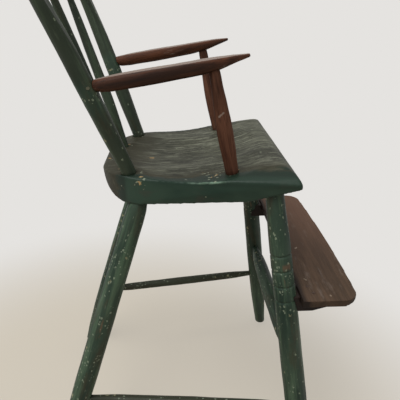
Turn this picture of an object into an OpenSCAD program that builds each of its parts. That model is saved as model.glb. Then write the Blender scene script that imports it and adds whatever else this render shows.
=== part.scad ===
// Plank-bottom youth chair: thick dished plank seat, four splayed turned legs with a box of
// stretchers, two outer back posts with two spindles and a crest rail, open arms on turned arm
// posts, and a footrest board carried by two brackets in front of the front legs.
// Millimetres, +Z up, the sitter faces -Y, the floor is Z = 0 and X = 0 is the middle.

/* [Seat] */
// Full width of the seat plank along its front edge
seat_front_w = 322; // [312:1:334]
// Full width of the seat plank along its rear edge
seat_rear_w = 205; // [200:1:212]
// Depth of the seat plank, front edge to rear edge
seat_depth = 284; // [276:1:292]
// Thickness of the seat plank before it is dished
seat_thick = 43.5; // [41:0.5:48]
// Height of the seat's flat underside above the floor, at mid depth
seat_under_z = 531.5; // [511:0.5:551]
// Slope of the seat, front edge up, in degrees
seat_tilt = 5.5; // [4:0.5:7]
// Depth of the dish where it runs out at the side edges
dish_edge = 10; // [6:0.5:12]
// Depth of the dish in the middle of the seat
dish_mid = 16; // [12:0.5:18]
// Radius of the rolled top front edge
seat_roll_r = 25; // [17:1:26]

/* [Legs] */
// Thickest diameter of the front legs
front_leg_d = 36; // [32:1:40]
// Thickest diameter of the rear legs
rear_leg_d = 34; // [30:1:38]
// Distance of the front leg tops in from the seat's side edge
front_top_in = 23.5; // [19.5:0.5:28]
// Distance of the front leg tops ahead of the seat's mid depth
front_top_y = 108; // [104:1:112]
// Distance of the rear leg tops in from the seat's side edge
rear_top_in = 18; // [15:0.5:23.5]
// Distance of the rear leg tops behind the seat's mid depth
rear_top_y = 86; // [82:1:89]
// Sideways splay of the front legs, foot outside top
front_out = 88; // [76:1:98]
// Forward splay of the front legs, foot ahead of top
front_fwd = 84; // [72:1:94]
// Sideways splay of the rear legs, foot outside top
rear_out = 79; // [68:1:90]
// Rearward splay of the rear legs, foot behind top
rear_aft = 172; // [160:1:182]

/* [Stretchers] */
// Height of the front stretcher
front_stretcher_z = 271; // [240:1:300]
// Thickest diameter of the front stretcher
front_stretcher_d = 29; // [22:1:32]
// Height of the side stretchers at the front legs
side_stretcher_z = 180; // [150:1:205]
// Thickest diameter of the side and rear stretchers
side_stretcher_d = 18.5; // [16:0.5:21]
// Height of the rear stretcher
rear_stretcher_z = 226; // [214:1:260]

/* [Back] */
// Height of the tops of the back posts above the seat's underside
back_h = 352.5; // [338.5:1:368.5]
// Rearward lean of the back posts in degrees
back_rake = 19.4; // [17:0.2:21]
// Outward lean of the back posts in degrees
back_splay = 11.2; // [9.8:0.2:12.2]
// Thickest diameter of the back posts
back_post_d = 24; // [22:0.5:26]
// Distance of the back posts in from the seat's side edge
back_post_in = 19.5; // [18.5:0.5:22]
// Distance of the back posts behind the seat's mid depth
back_post_y = 98.5; // [96.5:0.5:101]
// Half the spread of the two spindles on the seat
spindle_x = 33; // [28:1:38]
// Thickest diameter of the spindles
spindle_d = 16.5; // [13:0.5:19]
// Height of the crest rail
crest_h = 60; // [50:1:66]
// Thickness of the crest rail
crest_t = 13; // [11:0.5:15]
// How far the middle of the crest rail is bowed rearward of its ends
crest_bow = 8; // [4:0.5:11]

/* [Arms] */
// Height of the joint of an arm with its back post above the seat's underside
arm_joint_h = 161.5; // [148.5:1:174.5]
// Rise of the arms toward the front in degrees
arm_rise = 10.8; // [8:0.2:13]
// Length of an arm from the back post to its tip
arm_len = 198; // [186:1:208]
// Widest part of an arm
arm_w = 26.4; // [24:0.2:29]
// Thickest diameter of the arm posts
arm_post_d = 22.2; // [19.8:0.2:24.2]
// Distance of the arm posts in from the seat's side edge
arm_post_in = 29.5; // [25.5:0.5:33.5]
// Distance of the arm posts ahead of the seat's mid depth
arm_post_y = 47.5; // [43.5:0.5:51.5]
// Distance of the arm post from the arm tip
arm_overhang = 47; // [40:1:54]

/* [Footrest] */
// Drop from the seat's underside to the top of the footrest
footrest_drop = 136.5; // [126.5:1:146.5]
// How far the footrest reaches out past the leg centres
footrest_over = 28; // [22:1:34]
// Depth of the footrest board
footrest_d = 91; // [84:1:100]
// Thickness of the footrest board
footrest_t = 12; // [11:0.5:14]
// Width of each footrest bracket
bracket_w = 30; // [26:1:34]
// Thickness of a bracket under the board
bracket_t = 17; // [15:0.5:20]

/* [Fastenings] */
// Diameter of the wooden pegs
peg_d = 5; // [4:0.5:6]
// Shank diameter of the nails
nail_d = 2.6; // [2.2:0.2:3]
// Clearance around each tenon, peg and nail
fit = 0.1; // [0.08:0.01:0.15]

/* [Hidden] */
$fn = 96;
seat_y = -32;                        // mid depth of the seat before centring
bow_front = 4;                       // bow of the footrest's front edge
leg_ring_pitch = 0.045;              // spacing of the incised rings, share of leg length
foot_share = 0.68;                   // foot diameter over thickest diameter
wide = 3 * seat_depth;               // larger than anything that it has to cut
tall = 2 * seat_under_z;

// Slope lines of the seat plank, as heights over the seat frame's Y
function under_z(y) = seat_under_z - tan(seat_tilt) * (y - seat_y);
function top_z(y) = under_z(y) + seat_thick / cos(seat_tilt);

// Half width of the seat plank, y measured rearward from mid depth
function half_w(y) =
    (seat_front_w + (seat_rear_w - seat_front_w) * (y / seat_depth + 0.5)) / 2;

// Leg axes: foot centre on the floor and the point where the axis meets the seat's underside
ft = [half_w(-front_top_y) - front_top_in, seat_y - front_top_y, under_z(seat_y - front_top_y)];
ff = [ft[0] + front_out, ft[1] - front_fwd, 0];
rt = [half_w(rear_top_y) - rear_top_in, seat_y + rear_top_y, under_z(seat_y + rear_top_y)];
rf = [rt[0] + rear_out, rt[1] + rear_aft, 0];
front_len = norm(ft - ff);
rear_len = norm(rt - rf);
front_r = front_leg_d / 2;
rear_r = rear_leg_d / 2;
front_top_r = 0.75 * front_r;
rear_top_r = 0.9 * rear_r;
front_tenon_r = 0.72 * front_top_r;
rear_tenon_r = 0.64 * rear_top_r;
front_shoulder = 0.32 * seat_thick;
rear_shoulder = 0.25 * seat_thick;
front_tenon_end = 0.57 * seat_thick;
rear_tenon_end = 0.52 * seat_thick;

// Back post axis
back_top_z = seat_under_z + back_h;
bp0 = [half_w(back_post_y) - back_post_in, seat_y + back_post_y, top_z(seat_y + back_post_y)];
bdir = [tan(back_splay), tan(back_rake), 1];
bunit = bdir / norm(bdir);
post_r = back_post_d / 2;
post_foot_r = 0.87 * post_r;
post_tenon_r = 0.6 * post_r;
post_shoulder = 0.1 * seat_thick;
post_tenon_end = 0.4 * seat_thick;
post_len = (back_top_z - bp0[2]) * norm(bdir);
function post_at(z) = bp0 + bdir * (z - bp0[2]);

// Crest rail frame, leaning with the posts
crest_mid_z = back_top_z - crest_h / 2 - 22;
crest_end = post_at(crest_mid_z);
crest_rad = (pow(crest_end[0], 2) + pow(crest_bow, 2)) / (2 * crest_bow);
crest_at = [0, crest_end[1] + crest_bow, crest_mid_z];
crest_tenon_t = 0.5 * crest_t;
crest_tenon_h = 0.64 * crest_h;
crest_arch = 15 * crest_h;

// Spindle axis from the seat to the underside of the crest rail
sp_seat_y = seat_y + back_post_y + 0.75 * back_post_d;
sp0 = [spindle_x, sp_seat_y, top_z(sp_seat_y)];
sp_top_x = 1.45 * spindle_x;
sp_bow = crest_rad - sqrt(pow(crest_rad, 2) - pow(sp_top_x, 2));
sp1 = [sp_top_x, crest_at[1] - sp_bow - crest_h / 2 * sin(back_rake),
       crest_mid_z - crest_h / 2 * cos(back_rake)];
spindle_len = norm(sp1 - sp0);
spindle_r = spindle_d / 2;
spindle_end_r = 0.3 * spindle_d;
spindle_seat_in = 0.38 * seat_thick;
spindle_crest_in = crest_t;

// Arm axis, joint on the back post's front to the tip
arm_joint_z = seat_under_z + arm_joint_h;
arm_axis = post_at(arm_joint_z);
arm0 = [arm_axis[0], arm_axis[1] - post_r * 1.02, arm_joint_z];
arm1 = arm0 + arm_len * [0, -cos(arm_rise), sin(arm_rise)];
arm_r = arm_w / 2;
arm_tenon_r = 5;
arm_tenon_in = 12;
arm_under = arm_r * 0.84;

// Arm post axis, seat to the arm's underside
ap_y0 = seat_y - arm_post_y;
ap0 = [half_w(-arm_post_y) - arm_post_in, ap_y0, top_z(ap_y0) - dish_edge * 0.45];
ap_s = arm_len - arm_overhang;
ap1 = arm0 + ap_s * [0, -cos(arm_rise), sin(arm_rise)] - arm_under * [0, sin(arm_rise), cos(arm_rise)];
arm_post_len = norm(ap1 - ap0);
arm_post_r = arm_post_d / 2;
ap_foot_r = 0.88 * arm_post_r;
ap_top_r = 0.68 * arm_post_r;
ap_tenon_r = 0.6 * arm_post_r;
ap_top_tenon_r = 0.46 * arm_post_r;
ap_shoulder = 5;
ap_tenon_end = 0.4 * seat_thick;

// Stretcher joints on the leg axes
function on_line(a, b, z) = a + (b - a) * ((z - a[2]) / (b[2] - a[2]));
fs_end = on_line(ff, ft, front_stretcher_z);
ss_front = on_line(ff, ft, side_stretcher_z);
ss_rear = on_line(rf, rt, side_stretcher_z - 9);
rs_end = on_line(rf, rt, rear_stretcher_z);
stretcher_in = 9;                    // depth of a stretcher end inside its leg
stretcher_end_r = 6;

// Footrest and brackets
footrest_z = seat_under_z - footrest_drop;
fr_axis = on_line(ff, ft, footrest_z);
footrest_w = 2 * (fr_axis[0] + footrest_over);
fr_leg_front = fr_axis[1] - front_r * 0.92;
fr_back = fr_leg_front - 5;
fr_front = fr_back - footrest_d;
fr_under = footrest_z - footrest_t;
br_bottom = fr_under - bracket_t;
br_nose = fr_back - footrest_d * 0.66;
corner_r = 24;

// Centring of the whole chair fore and aft
foot_rear = rf[1] + foot_share * rear_r * sqrt(1 + pow((rt[1] - rf[1]) / rt[2], 2));
y_mid = -(fr_front + foot_rear) / 2;

green = [0.19, 0.27, 0.21];
olive = [0.34, 0.35, 0.29];
brown = [0.27, 0.17, 0.13];
board = [0.33, 0.25, 0.2];
metal = [0.2, 0.19, 0.18];

// Shared helpers

// Local +Z runs from point a toward point b, with the origin at a
module along(a, b) {
    d = b - a;
    translate(a) rotate([0, acos(d[2] / norm(d)), atan2(d[1], d[0])]) children();
}

module chair() translate([0, y_mid, 0]) children();
module right() mirror([1, 0, 0]) children();

// Smooth curve through control points [place, radius]
function catmull(p, i, t) =
    let (a = p[max(i - 1, 0)], b = p[i], c = p[i + 1], d = p[min(i + 2, len(p) - 1)])
    [b[0] + (c[0] - b[0]) * t,
     0.5 * (2 * b[1] + (c[1] - a[1]) * t + (2 * a[1] - 5 * b[1] + 4 * c[1] - d[1]) * t * t
            + (3 * b[1] - a[1] - 3 * c[1] + d[1]) * t * t * t)];
function curve(p, n) =
    [for (i = [0 : len(p) - 2]) for (k = [0 : n - 1]) catmull(p, i, k / n), p[len(p) - 1]];

// Solid of revolution about Z from points [height, radius]
module turned(p)
    rotate_extrude()
        polygon(concat([[0, p[0][0]]], [for (q = p) [q[1], q[0]]], [[0, p[len(p) - 1][0]]]));

// Solid of revolution with straight ends before and after the curved part
module spun(lead, p, tail, n = 3) turned(concat(lead, curve(p, n), tail));

// Seat

module seat_frame()
    translate([0, seat_y, seat_under_z]) rotate([-seat_tilt, 0, 0]) children();

// One rounded corner removed from the plan: q is the corner, s is the sign of the front or rear
module plan_corner(q, s, r, a) {
    half = (s < 0 ? 90 - a : 90 + a) / 2;
    t = r / tan(half);
    for (m = [-1, 1]) scale([m, 1]) difference() {
        polygon([q + [1, 4 * s], q + [-t, 4 * s], [q[0] - t, q[1] - s * r],
                 q + [(s < 0 ? -1 : 1) * t * sin(a), -s * t * cos(a)],
                 q + [(s < 0 ? -1 : 1) * t * sin(a) + 6, -s * t * cos(a)], q + [6, 4 * s]]);
        translate([q[0] - t, q[1] - s * r]) circle(r);
    }
}

module seat_plan() {
    hf = seat_front_w / 2;
    hr = seat_rear_w / 2;
    h = seat_depth / 2;
    a = atan((hf - hr) / seat_depth);
    difference() {
        polygon([[-hf, -h], [hf, -h], [hr, h], [-hr, h]]);
        plan_corner([hf, -h], -1, 6, a);
        plan_corner([hr, h], 1, 88, a);
    }
}

// Side profile of the plank, drawn with depth along x and thickness along y
module seat_profile() {
    h = seat_depth / 2;
    t = seat_thick;
    rise = 0.42 * t;
    under_r = 0.9 * t;
    difference() {
        translate([-h, 0]) square([seat_depth, t]);
        // rolled top front edge
        difference() {
            translate([-h - 1, t - seat_roll_r]) square([seat_roll_r + 1, seat_roll_r + 1]);
            translate([-h + seat_roll_r, t - seat_roll_r]) circle(seat_roll_r);
        }
        // softened top rear edge
        difference() {
            translate([h - 8, t - 8]) square([9, 9]);
            translate([h - 8, t - 8]) circle(8);
        }
        // long bevel under the front edge
        polygon([[-h - 1, -1], [-h + 74, -1], [-h + 74, 0], [-h, rise], [-h - 1, rise]]);
        // full round under the rear edge
        difference() {
            translate([h - under_r, -1]) square([under_r + 1, under_r + 1]);
            translate([h - under_r, under_r]) circle(under_r);
        }
    }
}

module seat_blank() {
    h = seat_depth / 2;
    a = atan((seat_front_w - seat_rear_w) / 2 / seat_depth);
    dish_half = 88;
    rc = (pow(dish_half, 2) + pow(dish_edge, 2)) / (2 * dish_edge);
    rs = (pow(112, 2) + pow(dish_mid, 2)) / (2 * dish_mid);
    difference() {
        intersection() {
            linear_extrude(seat_thick) seat_plan();
            rotate([90, 0, 90]) translate([0, 0, -200]) linear_extrude(400) seat_profile();
        }
        // dish: a long scoop that runs out over both side edges, deeper in the middle
        translate([-200, -7, seat_thick - dish_edge + rc]) rotate([0, 90, 0])
            cylinder(r = rc, h = 400, $fn = 240);
        translate([0, 2, seat_thick - dish_mid + rs]) rotate([90, 0, 0]) sphere(r = rs, $fn = 240);
        // top corners worn down along the sides, most at the front, and steeper at the rim there
        for (m = [0, 1], w = [[14, 2.4, 22], [19, 5, 45]]) mirror([m, 0, 0])
            translate([seat_front_w / 2, -h, seat_thick - w[0]]) rotate([0, 0, a])
                rotate([w[1], w[2], 0]) translate([-60, -30, 0]) cube([120, seat_depth + 60, 60]);
        // sides eased in toward the underside, less so at the rear, full width kept at the top
        for (m = [0, 1]) mirror([m, 0, 0])
            translate([seat_front_w / 2, -h, 0.68 * seat_thick]) rotate([0, 0, a])
                rotate([0, 11, -1.2]) translate([0, -20, -60]) cube([40, seat_depth + 60, 60]);
    }
}

module seat() color(green) chair() difference() {
    seat_frame() seat_blank();
    for (m = [0, 1]) mirror([m, 0, 0]) {
        along(ff, ft) {
            translate([0, 0, front_len - 30]) cylinder(r = front_top_r + fit, h = 30 + front_shoulder);
            translate([0, 0, front_len]) cylinder(r = front_tenon_r + fit, h = front_tenon_end + 0.5);
        }
        along(rf, rt)
            translate([0, 0, rear_len - 14]) cylinder(r = rear_tenon_r + fit, h = 14.5 + rear_tenon_end);
        along(bp0, bp0 + bdir) {
            translate([0, 0, -post_shoulder]) cylinder(r = post_foot_r + fit, h = post_shoulder + 12);
            translate([0, 0, -post_tenon_end - 0.5]) cylinder(r = post_tenon_r + fit, h = post_tenon_end);
        }
        along(sp0, sp1)
            translate([0, 0, -spindle_seat_in - 0.5]) cylinder(r = spindle_end_r + fit, h = spindle_seat_in + 9);
        along(ap0, ap1) {
            translate([0, 0, -ap_shoulder]) cylinder(r = ap_foot_r + fit, h = ap_shoulder + 12);
            translate([0, 0, -ap_tenon_end - 0.5]) cylinder(r = ap_tenon_r + fit, h = ap_tenon_end);
        }
    }
}

// Legs

module above_floor() {
    intersection() {
        children();
        translate([-wide / 2, -wide / 2, 0]) cube([wide, wide, tall]);
    }
}

module front_leg_solid(grow = 0) {
    n = front_len;
    r = front_r;
    along(ff, ft) rotate([0, 0, 35])
        spun([],
             [[-24, (foot_share - 0.06) * r + grow], [0.075 * n, 0.79 * r + grow], [0.2 * n, 0.95 * r + grow],
              [0.4 * n, r + grow], [0.58 * n, 0.97 * r + grow], [0.7 * n, 0.93 * r + grow],
              [0.88 * n, 0.87 * r + grow], [0.975 * n, front_top_r + grow]],
             [[n + front_shoulder - fit, front_top_r + grow],
              [n + front_shoulder - fit, front_tenon_r + grow],
              [n + front_tenon_end - 1, front_tenon_r + grow],
              [n + front_tenon_end, front_tenon_r - 1 + grow]], 2);
}

module rear_leg_solid(grow = 0) {
    n = rear_len;
    r = rear_r;
    along(rf, rt) rotate([0, 0, 35])
        spun([],
             [[-24, (foot_share - 0.07) * r + grow], [0.09 * n, 0.84 * r + grow], [0.26 * n, 0.98 * r + grow],
              [0.45 * n, r + grow], [0.72 * n, 0.96 * r + grow], [0.93 * n, rear_top_r + grow]],
             [[n + rear_shoulder, rear_top_r + grow]], 2);
}

// The tenon on a rear leg's head, with a small chamfer at its end
module rear_leg_tenon() along(rf, rt) {
    translate([0, 0, rear_len - 20]) cylinder(r = rear_tenon_r, h = 19 + rear_tenon_end);
    translate([0, 0, rear_len + rear_tenon_end - 1]) cylinder(r1 = rear_tenon_r, r2 = rear_tenon_r - 1, h = 1);
}

// All that lies below the plane of the seat's underside
module below_seat() seat_frame()
    translate([-wide / 2, -wide / 2, -tall - fit]) cube([wide, wide, tall]);

// Incised rings around the upper part of the front legs
module leg_rings()
    along(ff, ft) for (k = [0 : 3])
        translate([0, 0, (0.705 + k * leg_ring_pitch) * front_len])
            rotate_extrude() translate([front_r * (0.945 - 0.012 * k) + 0.9, 0]) circle(2, $fn = 24);

module front_leg_left_body() color(green) chair() difference() {
    above_floor() front_leg_solid();
    leg_rings();
    stretcher_hole(fs_end, mirrored(fs_end));
    stretcher_hole(ss_front, ss_rear);
    bracket_nail_set(fit);
}

// A rear leg's head is scribed to the seat's underside all round its tenon
module rear_leg_left_body() color(green) chair() difference() {
    union() {
        intersection() {
            above_floor() rear_leg_solid();
            below_seat();
        }
        rear_leg_tenon();
    }
    stretcher_hole(ss_rear, ss_front);
    stretcher_hole(rs_end, mirrored(rs_end));
}

module front_leg_left() front_leg_left_body();
module front_leg_right() right() front_leg_left_body();
module rear_leg_left() rear_leg_left_body();
module rear_leg_right() right() rear_leg_left_body();

// Stretchers

function mirrored(p) = [-p[0], p[1], p[2]];

// Hole in the leg at a for a stretcher that runs toward b
module stretcher_hole(a, b)
    along(a, b) translate([0, 0, -stretcher_in + 9 - 0.5])
        cylinder(r = stretcher_end_r + fit, h = 40);

// Turned rod between the leg axes a and b, ends inside the legs, thickest in the middle
module stretcher(a, b, d, q) {
    n = norm(b - a);
    r = d / 2;
    along(a, b)
        spun([[0, stretcher_end_r - 1], [1, stretcher_end_r]],
             [[q, stretcher_end_r], [q + 0.1 * n, 0.3 * stretcher_end_r + 0.7 * r],
              [0.36 * n, 0.95 * r], [0.5 * n, r], [0.64 * n, 0.95 * r],
              [n - q - 0.1 * n, 0.3 * stretcher_end_r + 0.7 * r], [n - q, stretcher_end_r]],
             [[n - 1, stretcher_end_r], [n, stretcher_end_r - 1]]);
}

module front_stretcher() color(green) chair()
    stretcher(fs_end, mirrored(fs_end), front_stretcher_d, front_r + 3);
module side_stretcher_left() color(green) chair()
    stretcher(ss_front, ss_rear, side_stretcher_d, front_r + 3);
module side_stretcher_right() right() side_stretcher_left();
module rear_stretcher() color(green) chair()
    stretcher(rs_end, mirrored(rs_end), side_stretcher_d, rear_r + 3);

// Back

// Turned back post, shaved flat on the upper front, with a rounded top
module post_solid(grow = 0) {
    n = post_len;
    r = post_r;
    flat_from = 0.5 * n;
    difference() {
        along(bp0, bp0 + bdir)
            spun([[-post_tenon_end, post_tenon_r - 1], [-post_tenon_end + 1, post_tenon_r],
                  [-post_shoulder + fit, post_tenon_r], [-post_shoulder + fit, post_foot_r + grow]],
                 [[8, post_foot_r + grow], [0.2 * n, 0.98 * r + grow], [0.38 * n, r + grow],
                  [0.6 * n, 0.93 * r + grow], [0.85 * n, 0.96 * r + grow], [0.95 * n, 0.86 * r + grow],
                  [0.985 * n, 0.6 * r + grow], [n, 0.12 * r + grow]], []);
        // the shaved flat, sinking from the surface to a third of the radius at the top
        translate(bp0 + bunit * flat_from - [0, r * 1.04 + grow, 0])
            rotate([-back_rake - 4.5, 0, 0]) translate([-60, -40, 0]) cube([120, 40, 400]);
    }
}

module crest_frame() translate(crest_at) rotate([-back_rake, 0, 0]) children();

// Curved slab of the crest rail, t thick and h high, out to half width w
module crest_slab(t, h, w)
    crest_frame() translate([0, 0, -h / 2]) linear_extrude(h) difference() {
        intersection() {
            translate([0, -crest_rad]) circle(crest_rad + t / 2, $fn = 720);
            translate([-w, -60]) square([2 * w, 120]);
        }
        translate([0, -crest_rad]) circle(crest_rad - t / 2, $fn = 720);
    }

module crest_tenons(grow = 0)
    crest_slab(crest_tenon_t + 2 * grow, crest_tenon_h + 2 * grow, crest_end[0] + 2 + grow);

module crest_rail() color(green) chair() difference() {
    union() {
        difference() {
            intersection() {
                crest_slab(crest_t, crest_h, crest_end[0] + 10);
                // arched upper edge
                crest_frame() rotate([90, 0, 0]) translate([0, crest_h / 2 - crest_arch, -crest_h])
                    cylinder(r = crest_arch, h = 2 * crest_h, $fn = 720);
            }
            for (m = [0, 1]) mirror([m, 0, 0]) {
                post_solid(fit);
                translate(post_at(crest_mid_z)) rotate([-back_rake, back_splay, 0])
                    translate([0, -40, -80]) cube([60, 80, 160]);
            }
        }
        crest_tenons();
    }
    for (m = [0, 1]) mirror([m, 0, 0]) {
        along(sp0, sp1) translate([0, 0, spindle_len - 6]) cylinder(r = spindle_end_r + fit, h = spindle_crest_in + 6.5);
        crest_peg(fit);
    }
}

module back_post_left_body() color(green) chair() difference() {
    post_solid();
    crest_tenons(fit);
    crest_peg(fit);
    arm_peg(fit);
    translate(arm0) rotate([90 + arm_rise + 180, 0, 0]) translate([0, 0, -post_r])
        cylinder(r = arm_tenon_r + fit, h = post_r + arm_tenon_in + 0.5);
}

module back_post_left() back_post_left_body();
module back_post_right() right() back_post_left_body();

module spindle_left() color(green) chair() {
    n = spindle_len;
    r = spindle_r;
    along(sp0, sp1)
        spun([[-spindle_seat_in, spindle_end_r - 0.8], [-spindle_seat_in + 0.8, spindle_end_r]],
             [[9, spindle_end_r], [0.16 * n, 0.82 * r], [0.32 * n, r], [0.48 * n, 0.95 * r],
              [0.75 * n, 0.5 * (r + spindle_end_r)], [n - 7, spindle_end_r]],
             [[n + spindle_crest_in - 0.8, spindle_end_r], [n + spindle_crest_in, spindle_end_r - 0.8]]);
}
module spindle_right() right() spindle_left();

// Arms

// Arm stick: round in plan taper, with a straighter top and a fuller belly
module arm_solid() {
    n = arm_len;
    r = arm_r;
    along(arm0, arm1) {
        intersection() {
            spun([[-7, 0.5 * r]],
                 [[0, 0.56 * r], [0.03 * n, 0.69 * r], [0.11 * n, 0.86 * r], [0.32 * n, r], [0.55 * n, r],
                  [0.68 * n, 0.97 * r], [0.79 * n, 0.85 * r], [0.89 * n, 0.61 * r],
                  [0.965 * n, 0.41 * r], [n - 1.5, 0.31 * r]], [[n, 0.18 * r]]);
            // side outline: x points down, y runs toward the tip
            rotate([90, 0, 0]) translate([0, 0, -30]) linear_extrude(60)
                polygon([[-0.55 * r, -8], [0.6 * r, -8], [0.78 * r, 0.11 * n], [0.88 * r, 0.32 * n],
                         [0.9 * r, 0.55 * n], [0.88 * r, 0.68 * n], [0.76 * r, 0.79 * n],
                         [0.42 * r, 0.89 * n], [0.17 * r, 0.98 * n], [0.11 * r, n + 1], [-0.16 * r, n + 1],
                         [-0.3 * r, 0.9 * n], [-0.37 * r, 0.79 * n], [-0.41 * r, 0.68 * n],
                         [-0.45 * r, 0.55 * n], [-0.57 * r, 0.32 * n], [-0.6 * r, 0.11 * n]]);
        }
        translate([0, 0, -arm_tenon_in]) cylinder(r = arm_tenon_r, h = arm_tenon_in + 20);
    }
}

module arm_left() color(brown) chair() difference() {
    arm_solid();
    // the rear end is coped to the round of the back post, and leaves the tenon whole
    difference() {
        post_solid(fit);
        along(arm0, arm1) translate([0, 0, -arm_tenon_in - 1]) cylinder(r = arm_tenon_r, h = arm_tenon_in + 6);
    }
    along(ap0, ap1) {
        translate([0, 0, arm_post_len - 14]) cylinder(r = ap_top_r + fit, h = 17);
        translate([0, 0, arm_post_len - 14]) cylinder(r = ap_top_tenon_r + fit, h = 23.5);
    }
    arm_peg(fit);
}
module arm_right() right() arm_left();

module arm_post_left() color(brown) chair() {
    n = arm_post_len;
    r = arm_post_r;
    along(ap0, ap1)
        spun([[-ap_tenon_end, ap_tenon_r - 1], [-ap_tenon_end + 1, ap_tenon_r],
              [-ap_shoulder + fit, ap_tenon_r], [-ap_shoulder + fit, ap_foot_r]],
             [[10, ap_foot_r], [0.28 * n, r], [0.5 * n, 0.97 * r], [0.72 * n, 0.83 * r],
              [n - 16, ap_top_r]],
             [[n + 3 - fit, ap_top_r], [n + 3 - fit, ap_top_tenon_r], [n + 8.2, ap_top_tenon_r],
              [n + 9, ap_top_tenon_r - 0.8]]);
}
module arm_post_right() right() arm_post_left();

// Footrest

module board_plan() {
    h = footrest_w / 2;
    chord = h - corner_r;
    rad = (pow(chord, 2) + pow(bow_front, 2)) / (2 * bow_front);
    cy = fr_front + bow_front + corner_r;
    difference() {
        intersection() {
            translate([-h, fr_front - 1]) square([footrest_w, footrest_d + 1]);
            translate([0, fr_front + rad]) circle(rad, $fn = 720);
        }
        for (m = [-1, 1]) scale([m, 1]) difference() {
            translate([chord, fr_front - 2]) square([corner_r + 2, cy - fr_front + 2]);
            translate([chord, cy]) circle(corner_r);
        }
    }
}

module footrest() color(board) chair() difference() {
    translate([0, 0, fr_under]) linear_extrude(footrest_t) board_plan();
    // bevel under the front edge
    translate([0, fr_front, fr_under]) rotate([-12, 0, 0]) translate([-300, -40, -40.01 + 5.6])
        cube([600, 80, 40]);
    for (m = [0, 1]) mirror([m, 0, 0]) footrest_nail_set(fit);
}

module bracket_left_body() color(brown) chair() difference() {
    translate([fr_axis[0] - bracket_w / 2, 0, 0]) rotate([90, 0, 90]) linear_extrude(bracket_w)
        polygon([[fr_axis[1], br_bottom], [fr_back - 22, br_bottom], [br_nose, fr_under - 5],
                 [br_nose, fr_under], [fr_back, fr_under], [fr_back, footrest_z - 3],
                 [fr_axis[1], footrest_z - 3]]);
    front_leg_solid(fit);
    translate([fr_axis[0] - 60, fr_axis[1], br_bottom - 30]) cube([120, 80, 120]);
    footrest_nail_set(fit);
    bracket_nail_set(fit);
}
module footrest_bracket_left() bracket_left_body();
module footrest_bracket_right() right() bracket_left_body();

// Fastenings

module nail(len, grow = 0) {
    translate([0, 0, -len]) cylinder(r = nail_d / 2 + grow, h = len);
    translate([0, 0, -1.2 - grow]) cylinder(r = nail_d + grow, h = 1.2 + grow);
}

module footrest_nail_set(grow = 0)
    for (k = [-1, 1])
        translate([fr_axis[0] + k * 0.26 * bracket_w, fr_back - 16 - (k > 0 ? 5 : 0), footrest_z])
            nail(footrest_t + 0.6 * bracket_t, grow);

module bracket_nail_set(grow = 0)
    for (k = [-1, 1])
        translate([fr_axis[0] + k * 0.24 * bracket_w, fr_back, footrest_z - 0.62 * footrest_t])
            rotate([90, 0, 0]) nail(1.5 * bracket_t, grow);

module crest_peg(grow = 0)
    translate(post_at(crest_mid_z)) rotate([90 - back_rake, 0, 0])
        translate([-3, 0, -post_r + 2.5]) cylinder(r = peg_d / 2 + grow, h = 2 * post_r);

module arm_peg(grow = 0)
    translate([arm_axis[0] - 7, arm0[1] + 6.5, arm_joint_z - 1.2]) rotate([0, 90, 0])
        cylinder(r = 0.4 * peg_d + grow, h = post_r + 9);

module footrest_nails() color(metal) chair()
    for (m = [0, 1]) mirror([m, 0, 0]) footrest_nail_set();
module bracket_nails() color(metal) chair()
    for (m = [0, 1]) mirror([m, 0, 0]) bracket_nail_set();
module crest_pegs() color(olive) chair()
    for (m = [0, 1]) mirror([m, 0, 0]) intersection() {
        crest_peg();
        post_solid(0.4);
    }
module arm_pegs() color(olive) chair()
    for (m = [0, 1]) mirror([m, 0, 0]) intersection() {
        arm_peg();
        post_solid(0.4);
    }

seat();
front_leg_left();
front_leg_right();
rear_leg_left();
rear_leg_right();
front_stretcher();
side_stretcher_left();
side_stretcher_right();
rear_stretcher();
back_post_left();
back_post_right();
spindle_left();
spindle_right();
crest_rail();
arm_left();
arm_right();
arm_post_left();
arm_post_right();
footrest();
footrest_bracket_left();
footrest_bracket_right();
footrest_nails();
bracket_nails();
crest_pegs();
arm_pegs();
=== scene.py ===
# %% [markdown]
# # A plank-bottom youth chair in worn green paint
#
# This chair stands tall, so that a small child can sit at a dining table. It was made by hand:
# a thick plank seat, turned legs and posts that sit in drilled sockets, and a board nailed on
# for the feet. The exact solids come from the CAD model, in metres, and stay where they are.
# Each visible piece is then made again here, with the softness that a hundred years of use
# give to wood, and rides on the same frame.

# %% Load the exact model
import math

import bpy
from mathutils import Matrix, Vector


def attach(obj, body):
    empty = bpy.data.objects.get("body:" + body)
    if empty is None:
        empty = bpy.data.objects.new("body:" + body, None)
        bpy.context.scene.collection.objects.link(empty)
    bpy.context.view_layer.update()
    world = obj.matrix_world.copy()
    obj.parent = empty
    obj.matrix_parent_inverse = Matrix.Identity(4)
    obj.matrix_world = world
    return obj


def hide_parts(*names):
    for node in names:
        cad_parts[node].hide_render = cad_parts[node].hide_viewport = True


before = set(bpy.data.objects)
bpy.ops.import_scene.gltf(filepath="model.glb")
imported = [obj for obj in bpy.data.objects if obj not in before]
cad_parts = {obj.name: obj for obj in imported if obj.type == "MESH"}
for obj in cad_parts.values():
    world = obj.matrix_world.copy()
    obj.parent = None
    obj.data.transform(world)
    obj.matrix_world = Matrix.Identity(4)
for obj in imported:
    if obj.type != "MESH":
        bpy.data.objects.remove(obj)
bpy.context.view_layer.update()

# %% [markdown]
# ## The chair's sizes
#
# A turned piece is drawn along a line from its foot to its head. The lines follow from a few
# real sizes, the same ones that the exact model is driven by. The sitter faces -Y, and the
# sitter's left is +X, so every pair is worked out once, for the left side, and mirrored.

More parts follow.
